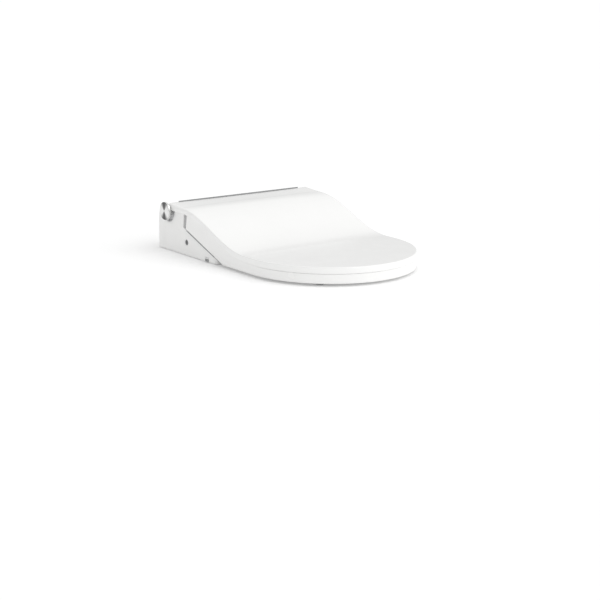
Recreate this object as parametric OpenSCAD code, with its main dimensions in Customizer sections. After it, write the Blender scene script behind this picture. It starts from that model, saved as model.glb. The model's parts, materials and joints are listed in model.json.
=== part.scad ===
// Electric bidet seat: a base unit that clamps on a toilet bowl, a heated seat ring and a lid that turn
// on one hinge axis, a sliding spray wand, a warm-air dryer, a deodoriser and a side dial.
// Origin: midway between the two bowl bolts, on the plane of the bowl's rim. +Z up, the front is -Y.

/* [Overall] */
// Width of the lid
lid_w = 384; // [340:1:420]
// Distance from the bowl bolts to the tip of the lid
lid_front = 475; // [420:1:520]
// Distance from the bowl bolts to the rear edge of the lid
lid_back = 66; // [60:1:68]
// Distance from the bowl bolts to where the straight sides start to curve in
side_front = 271; // [230:1:300]
// How far each side of the lid stands out over the side of the base
side_step = 3.5; // [2:0.5:5]
// Distance from the bowl bolts to the rear face of the base
base_back = 124; // [118:1:140]
// Distance from the bowl bolts to the front corners of the base
base_front = 125; // [115:1:140]

/* [Lid] */
// Height of the lid's edge at the front
lid_front_h = 40.5; // [36:0.5:50]
// Height of the lid's edge where the slope meets the hinge shoulder
lid_shoulder_h = 106; // [105.5:0.5:107]
// Further rise from the shoulder to the lid's rear edge
lid_rise = 3; // [0:0.5:4]
// Distance in front of the bolts where the lid starts to rise
slope_front = 241; // [200:1:260]
// Distance behind the bolts where the lid stops rising
slope_back = 15; // [0:1:30]
// Depth of the lid's skirt at the front
skirt_h = 14; // [10:0.5:16]
// Wall of the lid
lid_wall = 3; // [2:0.5:4]
// Gap between the lid's skirt and the seat
lid_gap = 0.8; // [0.4:0.1:1.5]

/* [Seat] */
// Height of the seat's underside above the rim
seat_low = 5.8; // [4:0.2:8]
// Wall of the seat's top shell
seat_wall = 3; // [2:0.5:4]
// Thickness of the seat's bottom plate
seat_plate = 2.5; // [2:0.5:4]
// Half width of the hole in the seat
hole_half_w = 108; // [95:1:118]
// Distance from the bolts to the front of the hole
hole_front = 400; // [380:1:410]
// Distance from the bolts to the rear of the hole
hole_back = 132; // [125:1:150]

/* [Base] */
// Wall of the base casing
wall = 2.8; // [2:0.1:4]
// Thickness of each side cheek
cheek_w = 29; // [28:0.5:32]
// Height of the cheek's top edge
cheek_h = 93.5; // [93:0.1:93.6]
// Angle of the sloping top, and of the spray wand under it
slope_angle = 20; // [18:0.5:21]
// Least height of the sloping top at the front corners; a thicker wand raises it
nose_h = 16; // [14:0.5:18]
// Height of the floor behind the slope, under the hinge arms
trough_h = 76; // [74:0.5:77]
// Height of the ridge at the rear
ridge_h = 100.5; // [99.5:0.5:106]
// Gap between the seat and the sloping top
slope_gap = 4.5; // [3.5:0.5:6]
// Height of the rubber pads under the base
pad_h = 1.2; // [1:0.1:2]

/* [Hinge] */
// Distance of the hinge axis behind the bowl bolts
axis_y = 71; // [70:1:72]
// Height of the hinge axis
axis_z = 91; // [90.5:0.5:91]
// Radius of the hinge pins
pin_r = 5; // [4:0.1:6]
// Running clearance around pins and shafts
fit_gap = 0.05; // [0.03:0.01:0.1]
// Outer radius of the hinge eyes
eye_r = 12; // [10:0.5:12.5]
// Width of each seat arm
seat_arm_w = 29; // [24:1:30]
// Width of each lid arm
lid_arm_w = 18; // [14:1:20]

/* [Dial] */
// Radius of the metal dial
dial_r = 20.3; // [17:0.1:22]
// Thickness of the dial's disc
dial_t = 6.3; // [5:0.1:8]
// How far the dial stands out from the base's side
dial_out = 12.3; // [12:0.1:14]
// Radius of the recess around the dial
recess_r = 26; // [24:0.5:27]

/* [Wand] */
// Radius of the spray wand
wand_r = 8; // [7:0.5:9]
// Length of the spray wand
wand_len = 130; // [115:1:135]
// Cover between the spray wand and the sloping top
wand_cover = 6; // [5:0.5:6.5]

/* [Mounting] */
// Distance between the two bowl bolts
bolt_spacing = 155; // [140:1:160]
// Width of the bolt slots
slot_w = 12; // [9:0.5:14]
// End-to-end length of the bolt slots
slot_len = 30; // [20:1:34]
// Thickness of the mounting plate
plate_t = 6; // [5:0.5:8]
// Radius of the threaded water inlet
inlet_r = 10.3; // [9:0.1:11]

/* [Hidden] */
$fn = 64;
eps = 0.01;
gap = 0.3;          // gap between neighbouring fixed pieces
move_gap = 0.5;     // gap beside moving pieces
white = "#f4f4f2";
pale_grey = "#c9cacb";
dark_grey = "#6b6d70";
steel = "#b9bcc0";
rubber = "#8d8f92";
copper = "#b87333";
board_green = "#2f6b45";

base_half = lid_w / 2 - side_step;
cheek_in = base_half - cheek_w;                 // inner face of the cheeks
seat_half = lid_w / 2 - 0.5;                    // the seat is half a millimetre inside the lid
lid_rear_h = lid_shoulder_h + lid_rise;
seam_front = lid_front_h - skirt_h;
seam_back = cheek_h + move_gap;
slope_t = tan(slope_angle);
nose_y = -base_front + 7;                       // where the slope starts, behind the front corner
slot_y = 9.5;                                   // front of the cheeks, where the dark slot stands
slot_gap = 15.5;                                // width of the slot between cheek and seat
cheek_lean = 4;                                 // how far the cheeks' front faces lean forward
seat_end = slot_y - slot_gap;                   // rear end of the seat's shoulders
seat_lean = 6;                                  // how far the shoulders' end faces lean forward
front_y = -92;                                  // flat front face of the base, over the bowl
cap_r = wand_r + 1.4;                           // cap that closes the wand's port when the wand is in
tip_out = 3;                                    // how far the cap stands in front of the face
cap_t = 3;
cap_lowest = cap_r * cos(slope_angle) + (tip_out - 2 + cap_t) * sin(slope_angle);  // under the wand's axis
rim_clear = 0.3;                                // least height of the cap over the bowl's rim
nose_z = max(nose_h, rim_clear + cap_lowest + (wand_r + wand_cover) / cos(slope_angle)
  - (front_y - nose_y) * slope_t);
panel_half = 82;                                // half width of the flat front face
ridge_y = axis_y + 22;                          // front of the rear ridge, clear of the open lid
ridge_top = 7;                                  // depth of the ridge's flat top
barrel_r = 14;                                  // hinge cover's radius around the axis
cover_half = cheek_in - seat_arm_w - lid_arm_w - 5;
lid_arm_x = cover_half + 1.5;                   // inner faces of the lid and seat arms
seat_arm_x = lid_arm_x + lid_arm_w + 1.5;
tray_t = 2.5;
plate_half_w = 108;
plate_y = [-30, 60];
pocket_h = 16;                                  // clear height over the plate for the bolt heads

function ease(t) = t <= 0 ? 0 : t >= 1 ? 1 : (1 - cos(180 * t)) / 2;
function slope_share(y) = ease((y + slope_front) / (slope_front + slope_back));
function edge_z(y) = lid_front_h + (lid_shoulder_h - lid_front_h) * slope_share(y)
  + lid_rise * max(0, (y - slope_back) / (lid_back - slope_back));
function seam_z(y) = seam_front + (seam_back - seam_front) * slope_share(y);
function slope_z(y) = nose_z + (y - nose_y) * slope_t;
function slope_under(y) = slope_z(y) - wall / cos(slope_angle);
function seat_z(y) = max(seat_low, slope_z(y) + slope_gap);
wand_front_z = slope_z(front_y) - (wand_r + wand_cover) / cos(slope_angle);  // wand's axis at the front face
panel_top = wand_front_z + cap_r * cos(slope_angle) + 1.6;
function unit(v) = v / norm(v);
// Moves every edge of an anticlockwise outline inwards by d
function inset(p, d) = [for (i = [0:len(p) - 1])
  let (n = len(p), u = unit(p[i] - p[(i + n - 1) % n]), v = unit(p[(i + 1) % n] - p[i]),
       a = [-u[1], u[0]], b = [-v[1], v[0]])
  p[i] + d * (a + b) / (1 + a * b)];

// Plan of the lid and seat: straight sides and a half ellipse in front
function plan_outline(half, front, back) = concat([[half, back], [-half, back]],
  [for (i = [0:48]) let (a = 180 + i * 180 / 48) [half * cos(a), -side_front + (front - side_front) * sin(a)]]);
// Hole in the seat: a long half ellipse in front and a short one behind
hole_mid = 240;
function hole_outline(d) = [for (i = [0:63]) let (a = i * 360 / 64)
  [(hole_half_w + d) * cos(a), -hole_mid + (sin(a) < 0 ? hole_front - hole_mid + d : hole_mid - hole_back + d) * sin(a)]];
// Plan of the base: rounded rear corners, and a front that curves back to a flat face
corner_r = 12;
horn_w = 38;
function base_plan(d) = inset(concat(
  [for (i = [0:6]) let (a = i * 15) [base_half - corner_r + corner_r * cos(a), base_back - corner_r + corner_r * sin(a)]],
  [for (i = [0:6]) let (a = 90 + i * 15) [-base_half + corner_r + corner_r * cos(a), base_back - corner_r + corner_r * sin(a)]],
  [[-base_half, -base_front + 4], [-base_half + 4, -base_front]],
  [for (i = [0:8]) let (t = i / 8)
    [-(base_half - horn_w) + t * (base_half - horn_w - panel_half), -base_front + (base_front + front_y) * ease(t)]],
  [for (i = [8:-1:0]) let (t = i / 8)
    [(base_half - horn_w) - t * (base_half - horn_w - panel_half), -base_front + (base_front + front_y) * ease(t)]],
  [[base_half - 4, -base_front], [base_half, -base_front + 4]]), d);

// Side views, as [y, z] points
rear_mid = [base_back - 11, 79];                // the rear face leans forward up to here
rear_shoulder = [base_back - 18, 99];
rear_side = [[base_back, pad_h], rear_mid, rear_shoulder, [ridge_y + ridge_top, ridge_h], [ridge_y, ridge_h]];
nose_side = [[nose_y, nose_z], [-base_front, 10], [-base_front, pad_h]];
cheek_dip = 3.7;                                // clears the open lid's rear strip
// The cheek's top dips behind the axis, where the open lid's rear edge comes down
function cheek_top(down) = [[ridge_y, cheek_h - cheek_dip - down], [axis_y + 8, cheek_h - cheek_dip - down], [axis_y + 2, cheek_h - down]];
cheek_side = concat(rear_side, cheek_top(0), [[slot_y - cheek_lean, cheek_h], [slot_y, slope_z(slot_y)]], nose_side);
middle_side = concat(rear_side, [[ridge_y, trough_h], [nose_y + (trough_h - nose_z) / slope_t, trough_h]], nose_side);

// Slab between two x values with a [y, z] outline
module slab(x0, x1, points) {
  translate([x0, 0, 0]) rotate([90, 0, 90]) linear_extrude(x1 - x0) polygon(points);
}
// Column with an [x, y] outline between two heights
module column(points, z0, z1) {
  translate([0, 0, z0]) linear_extrude(z1 - z0) polygon(points);
}
// Rod along X, centred on a [y, z] point
module rod(x0, x1, r, at = [axis_y, axis_z]) {
  translate([min(x0, x1), at[0], at[1]]) rotate([0, 90, 0]) cylinder(h = abs(x1 - x0), r = r);
}
module block(low, high) { translate(low) cube(high - low); }
module both_sides() {
  children();
  mirror([1, 0, 0]) children();
}

// ---- Base unit: casings ----
boss_r = pin_r + fit_gap + 5;                   // round bosses on the cheeks, around the hinge axis
boss_end = base_half - 10.5;
module base_solid(d) {
  intersection() {
    union() {
      slab(-base_half + d, base_half - d, inset(middle_side, d));
      both_sides() slab(cheek_in + d, base_half - d, inset(cheek_side, d));
      both_sides() rod(cheek_in + d, boss_end - d, boss_r - d);
    }
    column(base_plan(d), -1, 130);
  }
}
module base_shell() {
  difference() {
    base_solid(0);
    base_solid(wall);
    column(base_plan(wall), -1, pad_h + wall + 1);
  }
}
split_y = 88;                                   // joint between the casing and the rear cover
recess_deep = 10.3;
module dial_recess() {
  intersection() {
    rod(-base_half - 1, -base_half + recess_deep, recess_r);
    slab(-base_half - 2, 0, concat([[0, 0], [130, 0], [130, cheek_h - cheek_dip]], cheek_top(0), [[0, cheek_h]]));
  }
}
button_at = [-4.3, 30];                         // release button's [y, z]
button_r = 6.3;
cartridge_y = [-97, -81];
cartridge_h = 11;
module base_casing() {
  color(white) difference() {
    intersection() {
      base_shell();
      block([-base_half - 1, -base_front - 1, 0], [base_half + 1, split_y, 130]);
    }
    dial_recess();
    both_sides() rod(cheek_in - 1, cheek_in + wall + 1, pin_r + fit_gap);
    rod(-boss_end - 1, -boss_end + wall + 1, shaft_r + fit_gap);
    rod(-base_half - 1, -base_half + wall + 1, button_r + 0.2, button_at);
    block([-base_half - 1, cartridge_y[0] - gap, 0], [-base_half + wall + 1, cartridge_y[1] + gap, cartridge_h + gap]);
    block([-panel_half + 4, front_y - 1, 0], [panel_half - 4, front_y + wall + 1, panel_top + gap]);
    block([-cover_half + wall, axis_y - barrel_r + wall + 1, trough_h - wall - 1],
      [cover_half - wall, axis_y + barrel_r - wall - 1, trough_h + 1]);
  }
}
port_in = 38.5;                                 // inlet and gland, in from the base's sides
port_high = 22;
inlet_at = [-base_half + port_in, port_high];   // water inlet's [x, z]
gland_at = [base_half - port_in, port_high];
module rear_cover() {
  color(white) difference() {
    intersection() {
      base_shell();
      block([-base_half - 1, split_y + gap, 0], [base_half + 1, base_back + 1, 130]);
    }
    dial_recess();
    translate([inlet_at[0], base_back + 2, inlet_at[1]]) rotate([90, 0, 0]) cylinder(h = 24, r = inlet_r + 8);
    translate([gland_at[0], base_back + 2, gland_at[1]]) rotate([90, 0, 0]) cylinder(h = 24, r = 9.2);
  }
}
module hinge_cover() {
  top = trough_h + gap;
  color(dark_grey) difference() {
    union() {
      rod(-cover_half, cover_half, barrel_r);
      block([-cover_half, axis_y - barrel_r, top], [cover_half, axis_y + barrel_r, axis_z]);
    }
    rod(-cover_half + 3, cover_half - 3, barrel_r - 2.4);
    block([-cover_half + 3, axis_y - barrel_r + 2.4, top - 1], [cover_half - 3, axis_y + barrel_r - 2.4, axis_z]);
    rod(-cover_half - 1, cover_half + 1, pin_r + fit_gap);
  }
}
edge_seal_t = 1.2;                              // dark seal along the slope, under the seat's edge
edge_seal_w = 8;
function seal_side(low) = [for (y = [nose_y + 2, seat_end + 1]) [y, slope_z(y) + low]];
module slot_liners() {
  color(dark_grey) both_sides() {
    slab(cheek_in + 1, base_half - 3,
      [[slot_y - gap, slope_z(slot_y) + gap], [slot_y - cheek_lean - gap, cheek_h - 0.5],
       [seat_end - seat_lean + 2.5, cheek_h - 0.5], [seat_end + 1, seat_z(seat_end)],
       [seat_end + 1, slope_z(seat_end + 1) + gap]]);
    slab(base_half - edge_seal_w, base_half - gap,
      concat(seal_side(gap), [seal_side(gap + edge_seal_t)[1], seal_side(gap + edge_seal_t)[0]]));
  }
}
boss_in = [[18.5, 100], [16.5, -60], [58.5, 66]];  // screw bosses, [in from the side, y]
boss_at = [for (b = boss_in) each [[b[0] - base_half, b[1]], [base_half - b[0], b[1]]]];
module chassis_tray() {
  floor_top = pad_h + tray_t;
  color(pale_grey) difference() {
    union() {
      column(base_plan(wall + gap), pad_h, floor_top);
      block([-plate_half_w - 4, plate_y[0] - 4, pad_h], [plate_half_w + 4, plate_y[1] + 4, pocket_h + tray_t]);
      for (p = boss_at) translate([p[0], p[1], pad_h]) cylinder(h = 13, r = 4);
    }
    block([-plate_half_w - 1, plate_y[0] - 1, -1], [plate_half_w + 1, plate_y[1] + 1, pocket_h]);
    for (p = boss_at) translate([p[0], p[1], 0]) {
      cylinder(h = 20, r = 1.75);
      cylinder(h = pad_h + 2, r = 3.8);
    }
    block([-base_half - 1, cartridge_y[0] - gap, -1], [-cartridge_in + 1, cartridge_y[1] + gap, 4]);
    along_wand() translate([0, 0, -60]) cylinder(h = 100, r = wand_r + 1);
  }
}
port_x = [32, 66];
port_z = [6, 18];
module front_panel() {
  color(white) difference() {
    block([-panel_half + 4 + gap, front_y, pad_h], [panel_half - 4 - gap, front_y + wall, panel_top]);
    along_wand() {
      translate([0, 0, -20]) cylinder(h = 40, r = wand_r + move_gap);
      translate([0, 0, tip_out - 2 - move_gap]) cylinder(h = 20, r = cap_r + move_gap);
      block([0, -rack_off - rack_t - move_gap, -20], [rack_x + tooth_high + move_gap, -rack_off + move_gap, 20]);
    }
    block([port_x[0], front_y - 1, port_z[0]], [port_x[1], front_y + wall + 1, port_z[1]]);
  }
}
module casing_screws() {
  color(steel) for (p = boss_at) translate([p[0], p[1], pad_h + 0.2]) {
    cylinder(h = 1.7, r = 3.5);
    cylinder(h = 11, r = 1.7);
  }
}

// ---- Mounting on the bowl ----
module slot_hole(x) {
  shift = (slot_len - slot_w) / 2;
  translate([x, 0, -1]) {
    for (s = [-shift, shift]) translate([s, 0, 0]) cylinder(h = plate_t + 2, r = slot_w / 2);
    translate([-shift, -slot_w / 2, 0]) cube([2 * shift, slot_w, plate_t + 2]);
  }
}
module mounting_plate() {
  color(pale_grey) difference() {
    block([-plate_half_w, plate_y[0], 0], [plate_half_w, plate_y[1], plate_t]);
    for (s = [-1, 1]) slot_hole(s * bolt_spacing / 2);
    block([-30, plate_y[0] + 15, -1], [30, plate_y[1] - 15, plate_t + 1]);
    for (s = [-1, 1]) block([s * 80 - 20, plate_y[1] - 32, 2], [s * 80 + 20, plate_y[1] - 8, plate_t + 1]);
  }
}
module base_pads() {
  color(rubber) both_sides() for (y = [-100, 100])
    translate([base_half - 28, y, 0]) cylinder(h = pad_h, r = 8);
}
latch_x = base_half - 38.5;
latch_t = 3;
module release_latch() {
  color(pale_grey) {
    block([-latch_x, button_at[0] - 7, pad_h + tray_t], [-plate_half_w - 4, button_at[0] + 7, pad_h + tray_t + latch_t]);
    block([-latch_x, button_at[0] - 7, pad_h + tray_t + latch_t],
      [-latch_x + latch_t, button_at[0] + 7, button_at[1] + 10]);
  }
}

// ---- Hinge ----
pin_in = cover_half - 10;
pin_out = cheek_in + wall + 1;
module hinge_pins() { color(steel) both_sides() rod(pin_in, pin_out, pin_r); }
module damper(side) {
  color(dark_grey) difference() {
    rod(side * 18, side * (cover_half - 4), barrel_r - 3);
    rod(side * (pin_in - 1), side * cover_half, pin_r + fit_gap);
  }
}
module seat_damper() { damper(-1); }
module lid_damper() { damper(1); }

// ---- Dial on the left cheek ----
dial_back = -base_half - dial_out + dial_t;
neck_end = -base_half + 4;
collar_floor = -base_half + 8;
neck_r = 11.5;
shaft_r = 3;
module dial_collar() {
  color(dark_grey) difference() {
    union() {
      intersection() {
        rod(-base_half + 0.3, collar_floor + 2, recess_r - 0.3);
        slab(-base_half - 1, 0, concat([[0, 0], [130, 0], [130, cheek_h - cheek_dip - gap]], cheek_top(gap), [[0, cheek_h - gap]]));
      }
      rod(collar_floor, collar_floor + 2, boss_r - 1);
    }
    rod(-base_half - 1, collar_floor, recess_r - 1.8);
    rod(-base_half, collar_floor + 3, shaft_r + fit_gap);
  }
}
module dial_switch() {
  x0 = -boss_end + wall + gap;
  color(dark_grey) difference() {
    rod(x0, x0 + 8, boss_r - wall - gap);
    rod(x0 - 1, x0 + 9, shaft_r + fit_gap);
  }
}
module dial_knob() {
  lip = 0.8;
  color(steel) {
    translate([-base_half - dial_out, axis_y, axis_z]) rotate([0, 90, 0]) rotate_extrude()
      polygon([[0, 0], [dial_r - lip, 0], [dial_r, lip], [dial_r, dial_t - lip], [dial_r - lip, dial_t],
        [neck_r, dial_t], [neck_r, dial_t + neck_end - dial_back], [0, dial_t + neck_end - dial_back]]);
  }
}
module dial_shaft() { color(steel) rod(neck_end, -boss_end + wall + 6, shaft_r); }

// ---- Release button on the left side ----
button_face = -base_half + 0.8;
module release_button() {
  color(dark_grey) {
    rod(button_face, button_face + 8, button_r, button_at);
    rod(button_face + 8, -latch_x - 6, 3, button_at);
  }
}
module release_spring() {
  color(steel) for (i = [0:3]) translate([button_face + 9.2 + i * 2.4, button_at[0], button_at[1]])
    rotate([0, 90, 0]) rotate_extrude() translate([4.2, 0]) circle(r = 0.6, $fn = 16);
}

// ---- Water ----
module water_inlet() {
  flange_y = base_back - 20;
  color("#cfae62") translate([inlet_at[0], 0, inlet_at[1]]) rotate([-90, 0, 0]) difference() {
    union() {
      translate([0, 0, flange_y - 8]) cylinder(h = 10, r = inlet_r + 4);
      translate([0, 0, flange_y + 2 - eps]) cylinder(h = 14, r = inlet_r);
    }
    translate([0, 0, flange_y - 9]) cylinder(h = 40, r = inlet_r - 3.3);
  }
}
module inlet_valve() {
  back = base_back - 28 - gap;
  color("#e7e4dc") difference() {
    block([inlet_at[0] - 16, back - 34, 8], [inlet_at[0] + 16, back, 38]);
    translate([inlet_at[0], back + 1, inlet_at[1]]) rotate([90, 0, 0]) cylinder(h = 16, r = inlet_r - 3.3);
  }
  color(dark_grey) translate([inlet_at[0], back - 18, 38]) cylinder(h = 24, r = 11);
}
module water_heater() {
  color("#d8d9db") difference() {
    block([-108, 20, 21], [-30, 66, 52]);
    for (i = [0:5]) block([-104 + i * 12, 19, 49], [-98 + i * 12, 67, 53]);
  }
}
module flow_selector() {
  color("#e7e4dc") block([-62, -40, 21], [-34, -12, 30]);
  color(dark_grey) translate([-48, -25, 30]) cylinder(h = 8, r = 10);
}
module hose(a, b, r) {
  length = norm(b - a);
  d = (b - a) / length;
  translate(a) rotate([0, acos(d[2]), atan2(d[1], d[0])]) difference() {
    cylinder(h = length, r = r);
    translate([0, 0, -1]) cylinder(h = length + 2, r = r - 1.2);
  }
}
module water_hoses() {
  color("#dfe6ea") {
    hose([inlet_at[0] + 16 + gap, 52, 30], [-108 - gap, 52, 30], 4);
    hose([-48, 20 - gap, 25.5], [-48, -12 + gap, 25.5], 3.5);
  }
}
module air_pump() {
  pump_x = base_half - 70.5;
  color(dark_grey) block([pump_x, -58, 5], [pump_x + 40, -24, 27]);
  color(pale_grey) translate([pump_x - 8, -41, 16]) rotate([0, 90, 0]) cylinder(h = 8, r = 4);
}

// ---- Spray wand ----
// Frame with its Z axis running down the slope towards the bowl, from the front face
module along_wand() {
  translate([0, front_y, wand_front_z]) rotate([90 + slope_angle, 0, 0]) children();
}
tip_len = 24;
tooth_pitch = PI;                               // gear teeth of module 1
gear_teeth = 16;
gear_r = gear_teeth / 2;
tooth_high = 0.8;
tooth_deep = 1.1;
rack_x = wand_r + 4.4;                          // pitch line of the rack
gear_s = -29;                                   // gear's place along the wand
rack_t = 4;
rack_off = 1.5;                                 // how far the rack sits above the wand's axis
module wand_tube() {
  color(white) along_wand() difference() {
    translate([0, 0, -wand_len]) cylinder(h = wand_len - tip_len, r = wand_r);
    translate([0, 0, -wand_len + 2]) cylinder(h = wand_len, r = wand_r - 2);
  }
}
module wand_tip() {
  color(steel) along_wand() difference() {
    union() {
      translate([0, 0, -tip_len + gap]) cylinder(h = tip_len - gap + tip_out - 2, r = wand_r);
      translate([0, 0, tip_out - 2]) cylinder(h = cap_t, r = cap_r);
      block([0, -rack_off - rack_t - 0.3, tip_out - 2], [rack_x + tooth_high + 0.3, -rack_off + 0.3, tip_out - 2 + cap_t]);
    }
    translate([0, 0, -tip_len - 1]) cylinder(h = tip_len - 4, r = wand_r - 3);
    for (i = [0:2]) translate([0, 0, -8 - i * 4]) rotate([-90, 0, 0]) cylinder(h = wand_r + 1, r = 0.9);
  }
}
module wand_rack() {
  teeth = floor((gear_s + wand_len - 3) / tooth_pitch);
  low = rack_x - tooth_deep;
  color(pale_grey) along_wand() translate([0, -rack_off, 0]) rotate([90, 0, 0]) difference() {
    linear_extrude(rack_t) polygon(concat(
      [[wand_r - 1.2, -wand_len + 1], [low, -wand_len + 1]],
      [for (i = [teeth:-1:0]) let (s = gear_s - i * tooth_pitch)
        each [[low, s - 1.05], [rack_x + tooth_high, s - 0.4], [rack_x + tooth_high, s + 0.4], [low, s + 1.05]]],
      [[low, -tip_len - 1], [wand_r - 1.2, -tip_len - 1]]));
    rotate([-90, 0, 0]) translate([0, rack_off, -wand_len - 1]) cylinder(h = wand_len + 2, r = wand_r);
  }
}
gear_x = rack_x + gear_r;
module wand_gear() {
  step = 360 / gear_teeth;
  color(white) along_wand() translate([gear_x, -rack_off, gear_s]) rotate([90, 0, 0]) difference() {
    linear_extrude(rack_t) polygon([for (i = [0:gear_teeth - 1]) let (a = 180 + (i + 0.5) * step)
      each [for (c = [[gear_r - tooth_deep, -0.33], [gear_r + tooth_high, -0.13], [gear_r + tooth_high, 0.13],
        [gear_r - tooth_deep, 0.33]]) c[0] * [cos(a + c[1] * step), sin(a + c[1] * step)]]]);
    translate([0, 0, -1]) cylinder(h = 6, r = 1.5 + fit_gap);
  }
}
module wand_motor() {
  color(dark_grey) along_wand() translate([gear_x, -rack_off, gear_s]) rotate([-90, 0, 0]) {
    translate([0, 0, 0.6]) cylinder(h = 11, r = 9.5);
    translate([0, 0, -3.4]) cylinder(h = 5, r = 1.5);
  }
}
module wand_guide() {
  long = 50;
  back = -gear_s + 13 + long;
  color(pale_grey) along_wand() difference() {
    translate([-wand_r - 3, -1, -back]) cube([2 * wand_r + 6, wand_r + 3, long]);
    translate([0, 0, -back - 1]) cylinder(h = long + 2, r = wand_r + 0.3);
  }
}

// ---- Warm-air dryer ----
dryer_at = [78, -10];
dryer_r = 22;
dryer_z = [21, slope_under(dryer_at[1] - dryer_r) - 2.3];
module dryer_housing() {
  duct = [[front_y + wall + gap, port_z[0]], [-34, dryer_z[0]], [-20, dryer_z[0]], [-20, dryer_z[1] - 4],
    [-34, dryer_z[1] - 4], [front_y + wall + gap, port_z[1]]];
  inner = [[front_y, port_z[0] + 1.5], [-34, dryer_z[0] + 1.5], [-10, dryer_z[0] + 1.5], [-10, dryer_z[1] - 5.5],
    [-34, dryer_z[1] - 5.5], [front_y, port_z[1] - 1.5]];
  color(pale_grey) difference() {
    union() {
      translate([dryer_at[0], dryer_at[1], dryer_z[0]]) cylinder(h = dryer_z[1] - dryer_z[0], r = dryer_r);
      slab(port_x[0], port_x[1], duct);
    }
    translate([dryer_at[0], dryer_at[1], dryer_z[0] + 1.5]) cylinder(h = dryer_z[1] - dryer_z[0] - 3, r = dryer_r - 1.5);
    translate([dryer_at[0], dryer_at[1], dryer_z[1] - 3]) cylinder(h = 5, r = 8);
    slab(port_x[0] + 1.5, port_x[1] - 1.5, inner);
  }
}
module dryer_motor() {
  color(steel) translate([dryer_at[0], dryer_at[1], dryer_z[1] + gap]) {
    cylinder(h = 5, r = 11);
    translate([0, 0, -14]) cylinder(h = 15, r = 1.5);
  }
}
module impeller(at, z0, high, r, blades) {
  translate([at[0], at[1], z0]) difference() {
    union() {
      cylinder(h = 1.2, r = r);
      cylinder(h = high, r = 5);
      for (i = [0:blades - 1]) rotate([0, 0, i * 360 / blades])
        translate([r * 0.55, -0.5, 0]) rotate([0, 0, 25]) cube([r * 0.42, 1, high]);
    }
    translate([0, 0, -1]) cylinder(h = high + 2, r = 1.5 + fit_gap);
  }
}
module dryer_fan() { color(white) impeller(dryer_at, dryer_z[0] + 4, dryer_z[1] - dryer_z[0] - 9, 18, 18); }
module dryer_flap() {
  axle = [front_y + 1.1, port_z[1] - 1.3];
  color(white) {
    block([port_x[0] + 0.6, front_y + 0.3, port_z[0] + 0.6], [port_x[1] - 0.6, front_y + 1.9, port_z[1] - 1.3]);
    rod(port_x[0] + 0.6, port_x[1] - 0.6, 0.8, axle);
  }
}

// ---- Deodoriser ----
deo_at = [59.5 - base_half, -50];
deo_r = 19;
deo_z = [5, slope_under(deo_at[1] - deo_r) - 1.8];
deo_h = deo_z[1] - deo_z[0];
cartridge_in = base_half - 48.5;
module deodoriser_housing() {
  color(pale_grey) difference() {
    union() {
      translate([deo_at[0], deo_at[1], deo_z[0]]) cylinder(h = deo_h, r = deo_r);
      block([deo_at[0] - 12, deo_at[1] - 29, deo_z[0]], [deo_at[0] + 12, deo_at[1] - 12, 20]);
    }
    translate([deo_at[0], deo_at[1], deo_z[0] + 1.5]) cylinder(h = deo_h - 3, r = deo_r - 1.5);
    block([deo_at[0] - 10.5, deo_at[1] - 30, deo_z[0] + 1.5], [deo_at[0] + 10.5, deo_at[1], 18.5]);
  }
  color(steel) translate([deo_at[0], deo_at[1], deo_z[0] + 1.5]) cylinder(h = deo_h - 6, r = 1.5);
}
module deodoriser_fan() { color(white) impeller(deo_at, deo_z[0] + 4, deo_h - 11, 15, 14); }
module deodoriser_cartridge() {
  color(white) difference() {
    block([-base_half + 0.2, cartridge_y[0], pad_h + 0.2], [-base_half + 3, cartridge_y[1], cartridge_h]);
    block([-base_half - 1, cartridge_y[0] + 3, pad_h - 1], [-base_half + 1.8, cartridge_y[1] - 3, pad_h + 3]);
  }
  color(dark_grey) difference() {
    block([-base_half + 3, cartridge_y[0] + 1, pad_h + 0.2], [-cartridge_in, cartridge_y[1] - 1, cartridge_h - 1]);
    for (i = [0:5]) let (x = -base_half + 10.5 + i * 6)
      block([x, cartridge_y[0], pad_h + 2], [x + 3, cartridge_y[1], cartridge_h - 2.8]);
  }
}

// ---- Electrics ----
module control_board() {
  color(board_green) block([20, 78, 24], [140, 79.6, 62]);
  color("#26282b") for (p = [[34, 34], [62, 46], [96, 32], [118, 50]])
    block([p[0], 79.6, p[1]], [p[0] + 14, 82, p[1] + 10]);
}
module power_supply() {
  color(dark_grey) block([44, 24, 21], [104, 66, 46]);
  color(copper) block([54, 34, 46], [78, 56, slope_under(34) - 8]);
}
module cable_gland() {
  color(dark_grey) translate([gland_at[0], base_back - 18, gland_at[1]]) rotate([-90, 0, 0]) difference() {
    union() {
      cylinder(h = 15, r = 9);
      cylinder(h = 3, r = 12);
    }
    translate([0, 0, -1]) cylinder(h = 20, r = 3.6);
  }
}

// ---- Seat ----
steps = 24;
function along(a, b) = [for (i = [0:steps]) a + (b - a) * i / steps];
slope_meets = nose_y + (seat_low - slope_gap - nose_z) / slope_t;
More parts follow.
